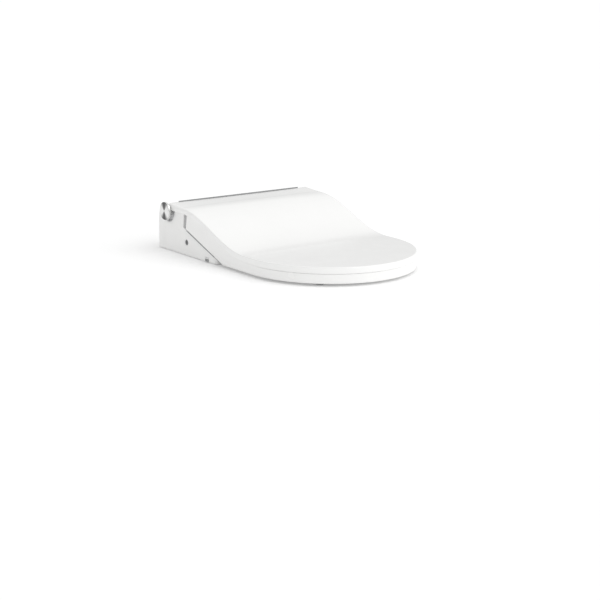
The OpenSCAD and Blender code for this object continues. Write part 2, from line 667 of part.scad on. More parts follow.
// [y, z] outline of the seat, raised by d at the bottom and lowered by d at the top
function seat_side(low, high, back) = concat(
  [[-lid_front - 5, seat_low + low], [slope_meets, seat_low + low], [back, seat_z(back) + low]],
  [for (y = along(back - seat_lean, -slope_front)) [y, seam_z(y) - lid_gap - high]],
  [[-lid_front - 5, seam_front - lid_gap - high]]);
module seat_solid(inside, low, high) {
  intersection() {
    slab(-lid_w, lid_w, seat_side(low, high, seat_end - inside));
    column(plan_outline(seat_half - inside, lid_front - 0.5 - inside, lid_back), -1, 130);
  }
}
module seat_top() {
  color(white) difference() {
    seat_solid(0, seat_plate + gap, 0);
    difference() {
      seat_solid(seat_wall, -5, seat_wall);
      column(hole_outline(seat_wall), 0, 130);
    }
    column(hole_outline(0), 0, 130);
  }
}
module seat_bottom() {
  color(white) difference() {
    intersection() {
      slab(-lid_w, lid_w, concat([[-lid_front, seat_low], [slope_meets, seat_low], [seat_end, seat_z(seat_end)]],
        [[seat_end, seat_z(seat_end) + seat_plate], [slope_meets, seat_low + seat_plate], [-lid_front, seat_low + seat_plate]]));
      column(plan_outline(seat_half - 0.4, lid_front - 1, lid_back), -1, 130);
    }
    column(hole_outline(0.4), 0, 130);
  }
}
module seat_heater() {
  color(copper) difference() {
    intersection() {
      slab(-lid_w, lid_w, concat([for (y = along(-60, -lid_front)) [y, seam_z(y) - lid_gap - seat_wall - 0.9]],
        [for (y = along(-lid_front, -60)) [y, seam_z(y) - lid_gap - seat_wall - 0.3]]));
      column(plan_outline(seat_half - 14, lid_front - 14, lid_back), -1, 130);
    }
    column(hole_outline(14), 0, 130);
  }
}
module hinge_eye(x0, x1, web) {
  difference() {
    union() {
      rod(x0, x1, eye_r);
      slab(x0, x1, web);
    }
    rod(x0 - 1, x1 + 1, pin_r + fit_gap);
  }
}
module seat_arms() {
  root_y = seat_end + gap;
  color(white) both_sides() hinge_eye(seat_arm_x, seat_arm_x + seat_arm_w - 1,
    [[root_y, seat_z(root_y) + seat_plate], [axis_y - 20, axis_z - eye_r], [axis_y, axis_z - eye_r], [axis_y, axis_z + eye_r - 2],
     [root_y - seat_lean, seam_z(root_y) - 2]]);
}
buffer_at = [[140, -330], [112, -405]];
module seat_buffers() {
  color(rubber) both_sides() for (p = buffer_at) translate([p[0], p[1], 0]) cylinder(h = seat_low, r = 9);
}

// ---- Lid ----
// [y, z] outline of the lid's band from its top face down to the seam
function lid_top(down) = [for (y = along(lid_back, -slope_front)) [y, edge_z(y) - down]];
function lid_seam(down) = [for (y = along(-slope_front, lid_back)) [y, seam_z(y) - down]];
module lid_solid(inside, down, under) {
  intersection() {
    slab(-lid_w, lid_w, concat(lid_top(down), [[-lid_front - 5, lid_front_h - down]],
      [[-lid_front - 5, seam_front - under]], lid_seam(under)));
    column(plan_outline(lid_w / 2 - inside, lid_front - inside, lid_back + (inside > 0 ? 5 : 0)), -1, 130);
  }
}
module lid_shell() {
  color(white) difference() {
    lid_solid(0, 0, 0);
    intersection() {
      slab(-lid_w, lid_w, concat([[lid_back + 5, lid_rear_h - lid_wall]], lid_top(lid_wall),
        [[-lid_front - 5, lid_front_h - lid_wall], [-lid_front - 5, 0], [lid_back + 5, 0]]));
      column(plan_outline(lid_w / 2 - lid_wall, lid_front - lid_wall, lid_back + 5), -1, 130);
    }
    both_sides() rod(base_half - 1, lid_w, neck_r + 1.5);
  }
}
strip_half = 164;                               // dark strip along the lid's rear edge
strip_t = 1.5;
strip_over = 2;                                 // how far the strip stands up over the lid
module rear_strip() {
  color(dark_grey) block([-strip_half, lid_back + gap, lid_rear_h - lid_wall],
    [strip_half, lid_back + gap + strip_t, lid_rear_h + strip_over]);
}
module lid_arms() {
  top = lid_shoulder_h - lid_wall - gap;
  color(white) both_sides() hinge_eye(lid_arm_x, lid_arm_x + lid_arm_w,
    [[axis_y - 35, top - 1], [axis_y - 22, axis_z + 1], [axis_y, axis_z - eye_r + 4], [axis_y + eye_r - 3, axis_z],
     [lid_back, lid_rear_h - lid_wall - gap], [slope_back + 8, top]]);
}
module lid_buffers() {
  color(rubber) both_sides() for (p = buffer_at)
    translate([p[0], p[1], seam_front - lid_gap + gap])
      cylinder(h = lid_front_h - lid_wall - (seam_front - lid_gap + gap), r = 7);
}

base_casing();
rear_cover();
rear_strip();
hinge_cover();
slot_liners();
chassis_tray();
front_panel();
mounting_plate();
base_pads();
casing_screws();
hinge_pins();
seat_damper();
lid_damper();
dial_collar();
dial_switch();
release_latch();
water_inlet();
inlet_valve();
water_heater();
flow_selector();
water_hoses();
air_pump();
wand_guide();
wand_motor();
dryer_housing();
dryer_motor();
deodoriser_housing();
control_board();
power_supply();
cable_gland();
dryer_fan();
dryer_flap();
deodoriser_fan();
deodoriser_cartridge();
wand_gear();
wand_tube();
wand_rack();
wand_tip();
release_button();
release_spring();
dial_knob();
dial_shaft();
seat_top();
seat_bottom();
seat_heater();
seat_arms();
seat_buffers();
lid_shell();
lid_arms();
lid_buffers();
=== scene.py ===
# %% [markdown]
# # An electric bidet seat, dressed around its mechanical model
# The mechanical model gives every part its place and its joint. Here it is loaded as a fixed frame, and the
# pieces that the eye meets are made again with soft edges and real finishes. Everything is in metres, and
# each finished object stays at the origin with its place in its mesh.

import json
import math

import bmesh
import bpy
from mathutils import Matrix, Vector

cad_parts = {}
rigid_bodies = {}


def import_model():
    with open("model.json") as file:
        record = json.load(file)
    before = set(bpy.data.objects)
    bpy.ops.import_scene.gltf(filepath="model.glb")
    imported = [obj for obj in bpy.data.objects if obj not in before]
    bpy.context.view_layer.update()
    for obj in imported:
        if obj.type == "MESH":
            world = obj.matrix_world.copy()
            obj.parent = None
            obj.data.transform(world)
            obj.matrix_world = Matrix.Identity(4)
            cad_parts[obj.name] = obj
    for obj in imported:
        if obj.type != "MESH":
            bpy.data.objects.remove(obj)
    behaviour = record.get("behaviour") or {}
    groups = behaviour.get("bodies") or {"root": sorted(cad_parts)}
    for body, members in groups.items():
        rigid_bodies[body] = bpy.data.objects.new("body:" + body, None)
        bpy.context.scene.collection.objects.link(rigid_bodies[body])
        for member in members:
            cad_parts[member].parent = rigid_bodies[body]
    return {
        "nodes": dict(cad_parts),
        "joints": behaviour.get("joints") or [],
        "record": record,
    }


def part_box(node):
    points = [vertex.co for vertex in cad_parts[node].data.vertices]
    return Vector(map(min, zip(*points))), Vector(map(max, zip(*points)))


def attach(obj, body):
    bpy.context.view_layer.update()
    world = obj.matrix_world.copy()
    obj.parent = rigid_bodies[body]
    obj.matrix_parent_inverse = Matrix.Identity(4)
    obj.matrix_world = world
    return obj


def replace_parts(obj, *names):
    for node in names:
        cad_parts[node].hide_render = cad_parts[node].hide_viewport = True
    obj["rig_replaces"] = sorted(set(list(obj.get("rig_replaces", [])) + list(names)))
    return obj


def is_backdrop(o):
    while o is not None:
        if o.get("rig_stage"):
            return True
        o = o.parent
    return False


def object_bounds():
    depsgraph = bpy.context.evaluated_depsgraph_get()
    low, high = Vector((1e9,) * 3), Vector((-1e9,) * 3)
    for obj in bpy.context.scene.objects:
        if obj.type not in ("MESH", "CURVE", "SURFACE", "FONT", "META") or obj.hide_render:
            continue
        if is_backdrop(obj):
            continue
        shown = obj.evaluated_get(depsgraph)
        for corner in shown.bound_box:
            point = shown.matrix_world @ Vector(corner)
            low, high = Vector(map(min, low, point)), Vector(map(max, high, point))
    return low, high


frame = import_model()
cad_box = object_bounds()
MM = 0.001

# %% [markdown]
# ## The camera and the light
# The seat is looked at from its front left, a little from above, with a long lens, as for a catalogue. A long
# lens keeps the far side of the lid nearly as large as the near one. The light of a white studio comes from
# everywhere, so a white world does most of it. Two very wide suns, one from the front right and one from
# above, make the top and the front brighter than the left side.

# %% Camera
view_azimuth = math.radians(-35.23)
view_elevation = math.radians(13.417)
view_distance = 3.74007
aim_right, aim_up = -0.011675, -0.08787
flat_back = Vector((math.sin(view_azimuth), -math.cos(view_azimuth), 0))
back = flat_back * math.cos(view_elevation) + Vector((0, 0, math.sin(view_elevation)))
right = Vector((math.cos(view_azimuth), math.sin(view_azimuth), 0))
up = back.cross(right)
aim = Vector((0, -0.195, 0)) + right * aim_right + up * aim_up

camera_data = bpy.data.cameras.new("camera")
camera_data.lens = 101.9
camera_data.sensor_width = 36
camera_data.clip_end = 50
camera = bpy.data.objects.new("camera", camera_data)
bpy.context.scene.collection.objects.link(camera)
camera.location = aim + back * view_distance
camera.rotation_mode = "QUATERNION"
camera.rotation_quaternion = (-back).to_track_quat("-Z", "Y")
bpy.context.scene.camera = camera
print("camera at", [round(c, 3) for c in camera.location])

# %% World and lamps
scene = bpy.context.scene
scene.view_settings.view_transform = "Standard"
scene.world = bpy.data.worlds.new("studio")
scene.world.use_nodes = True
sky = scene.world.node_tree.nodes["Background"]
sky.inputs["Color"].default_value = (1, 1, 1, 1)
sky.inputs["Strength"].default_value = 0.62


def soft_sun(name, towards, strength, spread):
    """A sun so wide that it acts as a big softbox at any distance."""
    data = bpy.data.lights.new(name, "SUN")
    data.energy = strength
    data.angle = math.radians(spread)
    lamp = bpy.data.objects.new(name, data)
    bpy.context.scene.collection.objects.link(lamp)
    lamp.rotation_mode = "QUATERNION"
    lamp.rotation_quaternion = Vector(towards).to_track_quat("Z", "Y")
    return lamp


soft_sun("key", (0.42, -0.66, 0.62), 1.2, 70)
soft_sun("top", (0.1, 0.3, 0.95), 0.4, 100)

# %% [markdown]
# ## Finishes
# Bathroom plastic is white, very smooth and a little uneven, as every moulding is: its gloss drifts over a
# few centimetres, and a fine ripple, called orange peel, breaks up the reflections. One function makes such a
# finish from a colour, a roughness and the depth of that ripple. All patterns follow Object coordinates, so
# they stay on a piece when it moves. Numbers that are the same all over go straight on the shader.

# %% A finish with drifting tone, drifting gloss and a fine ripple
finishes = {}


def colour_of(name, fallback):
    """The record's colour for a material slot."""
    for entry in frame["record"]["materials"]:
        if entry["slot"] == name:
            return tuple(entry["base_color"])
    return fallback


def new_material(name):
    """An empty node material with its shader, and a helper that adds a node."""
    material = bpy.data.materials.new(name)
    material.use_nodes = True
    tree = material.node_tree
    shader = tree.nodes["Principled BSDF"]

    def add(kind, **values):
        node = tree.nodes.new(kind)
        for key, value in values.items():
            if key in node.inputs:
                node.inputs[key].default_value = value
            else:
                setattr(node, key, value)
        return node

    return material, tree, shader, add


def drift(tree, add, place, scale, low, high, detail=2.0):
    """A soft noise over the piece, brought between two values."""
    noise = add("ShaderNodeTexNoise", Scale=scale, Detail=detail)
    spread = add("ShaderNodeMapRange", interpolation_type="SMOOTHSTEP")
    spread.inputs["From Min"].default_value = 0.22
    spread.inputs["From Max"].default_value = 0.78
    spread.inputs["To Min"].default_value = low
    spread.inputs["To Max"].default_value = high
    tree.links.new(place, noise.inputs["Vector"])
    tree.links.new(noise.outputs["Fac"], spread.inputs["Value"])
    return spread.outputs["Result"]


def tinted(tree, add, factor, colour, shade):
    """Mixes a colour with a slightly darker shade of itself."""
    mix = add("ShaderNodeMix", data_type="RGBA")
    mix.inputs[6].default_value = (*[c * shade for c in colour], 1)
    mix.inputs[7].default_value = (*colour, 1)
    tree.links.new(factor, mix.inputs[0])
    return mix.outputs[2]


def finish(name, colour, rough, ripple=0.02, ripple_scale=900, shade=0.97, metal=0.0, coat=0.0):
    """A moulded, cast or rubber surface."""
    material, tree, shader, add = new_material(name)
    place = add("ShaderNodeTexCoord").outputs["Object"]
    patches = drift(tree, add, place, 9, 0, 1)
    tree.links.new(tinted(tree, add, patches, colour, shade), shader.inputs["Base Color"])
    tree.links.new(drift(tree, add, place, 22, rough * 0.85, rough * 1.15), shader.inputs["Roughness"])
    fine = add("ShaderNodeTexNoise", Scale=ripple_scale, Detail=3.0)
    bump = add("ShaderNodeBump", Strength=ripple, Distance=0.0005)
    tree.links.new(place, fine.inputs["Vector"])
    tree.links.new(fine.outputs["Fac"], bump.inputs["Height"])
    tree.links.new(bump.outputs["Normal"], shader.inputs["Normal"])
    shader.inputs["Metallic"].default_value = metal
    shader.inputs["Coat Weight"].default_value = coat
    shader.inputs["Coat Roughness"].default_value = 0.08
    finishes[name] = material
    return material


white = colour_of("lid_white", (0.95, 0.95, 0.94))
lid_white = finish("lid_white", white, 0.2, ripple=0.015, shade=0.985, coat=0.25)
seat_white = finish("seat_white", colour_of("seat_white", white), 0.24, ripple=0.02, shade=0.985, coat=0.15)
finish("casing", colour_of("casing", white), 0.32, ripple=0.06, ripple_scale=1400, shade=0.98)
finish("wand", colour_of("wand", white), 0.2, shade=0.98)
trim_grey = colour_of("dark_trim", (0.2, 0.2, 0.21))
dark_trim = finish("dark_trim", trim_grey, 0.42, ripple=0.12, ripple_scale=1800, shade=0.9)
near_black = colour_of("dark_plastic", (0.1, 0.1, 0.1))
dark_plastic = finish("dark_plastic", near_black, 0.45, ripple=0.15, shade=0.85)
finish("grey_plastic", colour_of("grey_plastic", (0.6, 0.6, 0.6)), 0.42, ripple=0.12, shade=0.94)
finish("natural_plastic", colour_of("natural_plastic", (0.8, 0.78, 0.72)), 0.5, ripple=0.1, shade=0.93)
finish("hose", colour_of("hose", (0.8, 0.84, 0.86)), 0.3, shade=0.92)
rubber_grey = colour_of("rubber", (0.3, 0.3, 0.31))
rubber = finish("rubber", rubber_grey, 0.75, ripple=0.35, ripple_scale=2400, shade=0.88)
brass = finish("brass", colour_of("brass", (0.78, 0.62, 0.3)), 0.3, ripple=0.1, shade=0.85, metal=1.0)
print("plain finishes:", sorted(finishes))

# %% [markdown]
# ### Brushed and spun metal
# A screw or a pin is drawn or rolled, so its fine lines run along it. The dial's face is turned on a lathe:
# its lines are circles round the hinge axis, and under light such a face shows a bow tie of bright and dark
# wedges. Here that bow tie is a painted reflection in the base colour: the angle round the axis comes from
# the arctangent of two coordinates, and twice that angle in a cosine gives two painted bright and two painted
# dark wedges. Noise that only follows the radius gives the turned lines.

# %% Steel for pins and screws
hinge = next(j for j in frame["joints"] if j["name"] == "seat_hinge")
axis_y, axis_z = hinge["pos_m"][1], hinge["pos_m"][2]


def lined_metal(name, colour, rough, stretch):
    """Metal with fine lines: stretch is the noise's scale along X, Y and Z."""
    material, tree, shader, add = new_material(name)
    place = add("ShaderNodeTexCoord").outputs["Object"]
    lines_map = add("ShaderNodeMapping")
    lines_map.inputs["Scale"].default_value = stretch
    tree.links.new(place, lines_map.inputs["Vector"])
    lines = add("ShaderNodeTexNoise", Scale=60.0, Detail=4.0)
    tree.links.new(lines_map.outputs["Vector"], lines.inputs["Vector"])
    tree.links.new(tinted(tree, add, lines.outputs["Fac"], colour, 0.7), shader.inputs["Base Color"])
    tree.links.new(drift(tree, add, place, 40, rough * 0.8, rough * 1.25), shader.inputs["Roughness"])
    bump = add("ShaderNodeBump", Strength=0.08, Distance=0.0002)
    tree.links.new(lines.outputs["Fac"], bump.inputs["Height"])
    tree.links.new(bump.outputs["Normal"], shader.inputs["Normal"])
    shader.inputs["Metallic"].default_value = 1.0
    finishes[name] = material
    return material


steel = lined_metal("steel", colour_of("steel", (0.6, 0.6, 0.62)), 0.34, (1, 30, 30))
lined_metal("polished_steel", colour_of("polished_steel", (0.75, 0.75, 0.76)), 0.16, (1, 20, 20))
lined_metal("heater_foil", colour_of("heater_foil", (0.7, 0.45, 0.3)), 0.4, (30, 1, 1))
print("steel along X, hinge axis at", round(axis_y, 4), round(axis_z, 4))


# %% Spun metal for the dial, with a painted reflection
def spun_metal_painted_wedges(name, bright, dark, rough, face_end):
    """Turned metal round the hinge axis, with a painted reflection: bright and dark wedges on the face up to
    face_end.
    """
    material, tree, shader, add = new_material(name)
    place = add("ShaderNodeTexCoord").outputs["Object"]
    centred = add("ShaderNodeMapping")
    centred.inputs["Location"].default_value = (0, -axis_y, -axis_z)
    tree.links.new(place, centred.inputs["Vector"])
    parts = add("ShaderNodeSeparateXYZ")
    tree.links.new(centred.outputs["Vector"], parts.inputs[0])

    def math_node(operation, first, second=None):
        node = add("ShaderNodeMath", operation=operation)
        for socket, value in zip(node.inputs, (first, second)):
            if isinstance(value, (int, float)):
                socket.default_value = value
            elif value is not None:
                tree.links.new(value, socket)
        return node.outputs[0]

    # Painted reflection: twice the angle in a cosine makes two bright and two dark wedges in the base colour,
    # and the side beyond face_end is painted bright all round.
    angle = math_node("ARCTAN2", parts.outputs[2], parts.outputs[1])
    painted_wedges = math_node("COSINE", math_node("MULTIPLY", angle, 2.0))
    squares = [math_node("POWER", parts.outputs[k], 2.0) for k in (1, 2)]
    radius = math_node("SQRT", math_node("ADD", *squares))
    rings = add("ShaderNodeTexNoise", noise_dimensions="1D", Scale=2600.0, Detail=2.0)
    tree.links.new(radius, rings.inputs["W"])
    share = add("ShaderNodeMapRange", interpolation_type="SMOOTHSTEP")
    share.inputs["From Min"].default_value = -0.95
    share.inputs["From Max"].default_value = 0.55
    side = math_node("MULTIPLY", math_node("GREATER_THAN", parts.outputs[0], face_end), 3.0)
    pattern = math_node("ADD", painted_wedges, math_node("MULTIPLY", rings.outputs["Fac"], 0.3))
    tree.links.new(math_node("ADD", pattern, side), share.inputs["Value"])
    mix = add("ShaderNodeMix", data_type="RGBA")
    mix.inputs[6].default_value = (*dark, 1)
    mix.inputs[7].default_value = (*bright, 1)
    tree.links.new(share.outputs["Result"], mix.inputs[0])
    tree.links.new(mix.outputs[2], shader.inputs["Base Color"])
    bump = add("ShaderNodeBump", Strength=0.12, Distance=0.0002)
    tree.links.new(rings.outputs["Fac"], bump.inputs["Height"])
    tree.links.new(bump.outputs["Normal"], shader.inputs["Normal"])
    tree.links.new(drift(tree, add, place, 120, rough * 0.85, rough * 1.15), shader.inputs["Roughness"])
    shader.inputs["Metallic"].default_value = 1.0
    finishes[name] = material
    return material


dial_face_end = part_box("dial_knob")[0].x + 1.2 * MM
dial_metal = spun_metal_painted_wedges("dial_metal", (0.8, 0.8, 0.79), (0.08, 0.08, 0.08), 0.33, dial_face_end)
print("spun metal round the hinge axis")


# %% The control board's green lacquer
def board_finish(name, colour, track):
    """Green lacquer over copper tracks: a brick pattern stands for the tracks."""
    material, tree, shader, add = new_material(name)
    place = add("ShaderNodeTexCoord").outputs["Object"]
    turned = add("ShaderNodeMapping")
    turned.inputs["Rotation"].default_value = (math.pi / 2, 0, 0)
    tree.links.new(place, turned.inputs["Vector"])
    tracks = add("ShaderNodeTexBrick", Scale=120.0)
    tracks.inputs["Color1"].default_value = (*colour, 1)
    tracks.inputs["Color2"].default_value = (*[c * 0.8 for c in colour], 1)
    tracks.inputs["Mortar"].default_value = (*track, 1)
    tracks.inputs["Mortar Size"].default_value = 0.03
    tree.links.new(turned.outputs["Vector"], tracks.inputs["Vector"])
    tree.links.new(tracks.outputs["Color"], shader.inputs["Base Color"])
    tree.links.new(drift(tree, add, place, 60, 0.3, 0.5), shader.inputs["Roughness"])
    bump = add("ShaderNodeBump", Strength=0.2, Distance=0.0001)
    tree.links.new(tracks.outputs["Fac"], bump.inputs["Height"])
    tree.links.new(bump.outputs["Normal"], shader.inputs["Normal"])
    finishes[name] = material
    return material


board_finish("board", colour_of("board", (0.05, 0.2, 0.1)), (0.25, 0.4, 0.15))
slot_of = {p["node"]: p["material_slot"] for p in frame["record"]["subparts"]}
print("slots without a finish:", sorted(set(slot_of.values()) - set(finishes)))

# %% [markdown]
# ## From a modelled part to a moulded piece
# The mechanical parts have knife edges, which no moulding has. A copy of a part can be softened: its loose
# triangles are merged, flat faces become whole again, and a Bevel modifier rounds every edge that is sharper
# than a limit. A Weighted Normal modifier then keeps the large faces flat.


# %% Helpers that place and freeze a piece
def plain_mesh(item):
    """Turns an object's evaluated shape into its own plain mesh and drops its modifiers."""
    bpy.context.view_layer.update()
    shape = bpy.data.meshes.new_from_object(item.evaluated_get(bpy.context.evaluated_depsgraph_get()))
    item.modifiers.clear()
    item.data = shape
    return item


def new_piece(name, mesh, material):
    """Puts a mesh in the scene with one material."""
    item = bpy.data.objects.new(name, mesh)
    bpy.context.scene.collection.objects.link(item)
    mesh.materials.clear()
    mesh.materials.append(material)
    return item


def settle(item, body, nodes=()):
    """Lets a finished piece ride on its body and stand for its nodes."""
    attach(item, body)
    if nodes:
        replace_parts(item, *nodes)
    return item


def smooth(mesh, limit=35):
    """Smooth shading that breaks at edges sharper than the limit, in degrees."""
    mesh.shade_smooth()
    mesh.set_sharp_from_angle(angle=math.radians(limit))


def freeze(work, name):
    """Writes an edited mesh to a new one and lets the editor go."""
    mesh = bpy.data.meshes.new(name)
    work.to_mesh(mesh)
    work.free()
    return mesh


def outward(mesh):
    """Turns every face of a closed mesh outward."""
    work = bmesh.new()
    work.from_mesh(mesh)
    bmesh.ops.recalc_face_normals(work, faces=work.faces)
    work.to_mesh(mesh)
    work.free()


def add_bevel(item, width, segments, limit):
    """A bevel on the edges sharper than the limit, in degrees."""
    bevel = item.modifiers.new("edges", "BEVEL")
    bevel.width = width
    bevel.segments = segments
    bevel.limit_method = "ANGLE"
    bevel.angle_limit = math.radians(limit)
    return bevel


def merged_copy(node):
    """A part's mesh as whole faces: doubles merged and flat neighbours joined."""
    data = frame["nodes"][node].data
    work = bmesh.new()
    copy = bpy.data.meshes.new(node + "_copy")
    copy.from_pydata([v.co.copy() for v in data.vertices], [], [tuple(p.vertices) for p in data.polygons])
    work.from_mesh(copy)
    bmesh.ops.remove_doubles(work, verts=work.verts, dist=0.005 * MM)
    bmesh.ops.dissolve_limit(work, angle_limit=math.radians(0.6), verts=work.verts, edges=work.edges)
    return freeze(work, node + "_merged")


def soften(node, body, radius, material, limit=32, segments=3):
    """A part again with rounded edges."""
    item = new_piece(node + "_moulded", merged_copy(node), material)
    bevel = add_bevel(item, radius, segments, limit)
    bevel.use_clamp_overlap = True
    bevel.miter_outer = "MITER_ARC"
    item.data.shade_smooth()
    flats = item.modifiers.new("flats", "WEIGHTED_NORMAL")
    flats.keep_sharp = True
    plain_mesh(item)
    settle(item, body, [node])
    print(item.name, len(item.data.polygons), "faces")


# %% [markdown]
# ## The lid
# The lid is one shell: a top that lies low and level in front, climbs in an S to the hinge and ends in a
# shoulder, with a skirt all round. It follows a rule, so it is built from ribs. Each rib starts at the bottom
# of the skirt, climbs the side, turns over a rounded edge and runs in to the lid's middle line, where it
# meets the rib of the other side. A Solidify modifier gives the sheet its wall, and a small bevel rounds
# the skirt's lower edge. The top is crowned by a few millimetres so that it doesn't look flat.

# %% The lid's driving sizes and its side view
lid_low, lid_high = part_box("lid_shell")
lid_half, lid_front, lid_back = lid_high.x, -lid_low.y, lid_high.y
front_edge = 40.5 * MM
shoulder = 106 * MM
rear_edge = lid_high.z
seam_front = lid_low.z
straight_end = 271 * MM
slope_front = 241 * MM
slope_back = 15 * MM
seam_back = 94 * MM
crown = 1.9 * MM
rear_dip = 0.8 * MM
neck_gap = 13 * MM


def ease(share):
    """A smooth step from 0 to 1."""
    return (1 - math.cos(math.pi * min(max(share, 0), 1))) / 2


def climb(y):
    """How far up the S a point is, from 0 in front to 1 at the shoulder."""
    return ease((y + slope_front) / (slope_front + slope_back))


def edge_z(y):
    """Height of the lid's edge."""
    rise = (rear_edge - shoulder) * max(0, (y - slope_back) / (lid_back - slope_back))
    return front_edge + (shoulder - front_edge) * climb(y) + rise


def seam_z(y):
    """Height of the seam between lid and seat, which arches over the dial's neck."""
    height = seam_front + (seam_back - seam_front) * climb(y)
    reach = neck_gap ** 2 - (y - axis_y) ** 2
    return max(height, axis_z + math.sqrt(reach)) if reach > 0 else height


print("lid", [round(v, 3) for v in (lid_half, lid_front, lid_back, rear_edge)])


# %% The outline that lid and seat share
def outline(half, front, rear, straight_steps=80, round_steps=96):
    """Points from the left rear corner round the front to the right rear corner."""
    side = []
    for i in range(straight_steps):
        share = i / straight_steps
        side.append(Vector((-half, rear + (-straight_end - rear) * share, 0)))
    tip = []
    depth = front - straight_end
    for i in range(round_steps + 1):
        angle = math.pi * i / round_steps
        tip.append(Vector((-half * math.cos(angle), -straight_end - depth * math.sin(angle), 0)))
    return side + tip + [Vector((-p.x, p.y, 0)) for p in reversed(side)]


def inward(points, i):
    """Unit direction that points in from an outline, square to it."""
    along = points[min(i + 1, len(points) - 1)] - points[max(i - 1, 0)]
    return Vector((-along.y, along.x, 0)).normalized()


def loft(name, ribs, closed=False):
    """A sheet through ribs that have the same number of points."""
    work = bmesh.new()
    rows = [[work.verts.new(p) for p in rib] for rib in ribs]
    pairs = list(zip(rows, rows[1:])) + ([(rows[-1], rows[0])] if closed else [])
    for one, two in pairs:
        for a, b, c, d in zip(one, two, two[1:], one[1:]):
            work.faces.new((a, b, c, d))
    bmesh.ops.remove_doubles(work, verts=work.verts, dist=0.01 * MM)
    bmesh.ops.dissolve_degenerate(work, edges=work.edges, dist=0.005 * MM)
    return freeze(work, name)


# %% The lid's ribs
def edge_radius(y):
    """The lid's edge is crisp in front and softer at the shoulder."""
    return (2.4 + 4.6 * ease((y + 70 * MM) / (90 * MM))) * MM


def crown_at(y):
    """The top is crowned, except at the rear, where it sinks a little in front of the dark strip."""
    return crown - (crown + rear_dip) * ease((y + 20 * MM) / (80 * MM))


def lid_rib(points, i, low, inner_steps=26, arc_steps=7):
    """One rib: skirt, rounded edge, and the way in to the middle line."""
    edge, turn_in = points[i], inward(points, i)
    y = edge.y
    radius = edge_radius(y)
    top = edge_z(y)
    rib = [Vector((edge.x, y, low + (top - radius - low) * k / 4)) for k in range(4)]
    for k in range(arc_steps + 1):
        angle = math.pi / 2 * k / arc_steps
        foot = edge + turn_in * radius * (1 - math.cos(angle))
        rib.append(Vector((foot.x, foot.y, edge_z(foot.y) - radius * (1 - math.sin(angle)))))
    foot = edge + turn_in * radius
    spine = Vector((0, max(y, -straight_end - 0.02 * (lid_front - straight_end)), 0))
    for k in range(1, inner_steps + 1):
        share = k / inner_steps
        spot = foot.lerp(spine, share)
        bulge = crown_at(spot.y) * (1 - (1 - share) ** 2.4)
        rib.append(Vector((spot.x, spot.y, edge_z(spot.y) + bulge)))
    return rib


rim = outline(lid_half, lid_front, lid_back)
lid_ribs = [lid_rib(rim, i, seam_z(p.y)) for i, p in enumerate(rim)]
lid = new_piece("lid", loft("lid", lid_ribs), lid_white)
wall = lid.modifiers.new("wall", "SOLIDIFY")
wall.thickness = 2.8 * MM
wall.offset = -1
wall.use_even_offset = True
add_bevel(lid, 0.7 * MM, 2, 50)
plain_mesh(lid)
smooth(lid.data, 40)
settle(lid, "lid", ["lid_shell"])
print("lid:", len(lid.data.polygons), "faces")

# %% [markdown]
# ## The seat
# The seat is a ring whose side carries on from the lid's skirt. It is built from ribs as well, but these run
# from the outside round to the hole: up the side, over a small edge, in across the top, then down a wide
# round lip into the hole. Behind the hole the top climbs with the lid's slope, and the underside climbs with
# the sloping casing. Solidify gives the wall, and a separate plate closes the ring from below.

# %% The seat's heights and its hole
seat_low_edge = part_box("seat_bottom")[0].z
seat_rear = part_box("seat_top")[1].y
seat_half = lid_half - 0.5 * MM
seat_front = lid_front - 0.5 * MM
seam_wide, seam_thin = 0.6 * MM, 0.25 * MM
hole_half = 108 * MM
hole_mid = -240 * MM
hole_front = 400 * MM
hole_back = 132 * MM
slope_rise = math.tan(math.radians(20))
slope_start = -118 * MM
nose_z = 16 * MM
slope_gap = 4.5 * MM
seat_dish = 2.2 * MM
seat_lean = 6 * MM


def seat_under(y):
    """Height of the seat's underside."""
    return max(seat_low_edge, nose_z + slope_gap + (y - slope_start) * slope_rise)


def hole_point(angle, grow=0.0):
    """A point on the hole's edge: a long half ellipse in front and a short one behind."""
    reach = (-hole_mid - hole_back if math.sin(angle) > 0 else hole_front + hole_mid) + grow
    return Vector(((hole_half + grow) * math.cos(angle), hole_mid + reach * math.sin(angle), 0))


def seat_outline_hit(direction):
    """Where a ray from the hole's middle meets the seat's outline."""
    hits = []
    if direction.y > 0:
        hits.append((seat_rear - hole_mid) / direction.y)
    if abs(direction.x) > 1e-9:
        hits.append(seat_half / abs(direction.x))
    hit = Vector((0, hole_mid, 0)) + direction * min(hits) if hits else None
    if hit is not None and hit.y > -straight_end:
        return hit
    depth, offset = seat_front - straight_end, hole_mid + straight_end
    a = (direction.x / seat_half) ** 2 + (direction.y / depth) ** 2
    b = 2 * offset * direction.y / depth ** 2
    c = (offset / depth) ** 2 - 1
    return Vector((0, hole_mid, 0)) + direction * ((-b + math.sqrt(b * b - 4 * a * c)) / (2 * a))


corner = math.atan2(seat_rear - hole_mid, seat_half)
print("seat's rear corner at", round(math.degrees(corner), 1), "degrees")


# %% The seat's ribs
def seat_angles(steps=72):
    """Angles round the hole, with one exactly at each rear corner."""
    right_side = [corner * i / steps for i in range(-steps, steps)]
    rear = [corner + (math.pi - 2 * corner) * i / steps for i in range(steps)]
    left_side = [math.pi - corner + corner * i / steps for i in range(steps)]
    front_left = [math.pi + (math.pi - corner) * i / (2 * steps) for i in range(2 * steps)]
    return [a for a in right_side if a >= 0] + rear + left_side + front_left + \
        [2 * math.pi - corner + corner * i / steps for i in range(steps)]


def seam_width(y):
    """The seam is open at the front and closes to a hairline along the sides."""
    return seam_thin + (seam_wide - seam_thin) * ease((-230 * MM - y) / (120 * MM))


def seat_top_z(y):
    """Height of the seat's top: the seam's line, without the lid's arch at the dial, less the gap."""
    return seam_front + (seam_back - seam_front) * climb(y) - seam_width(y)


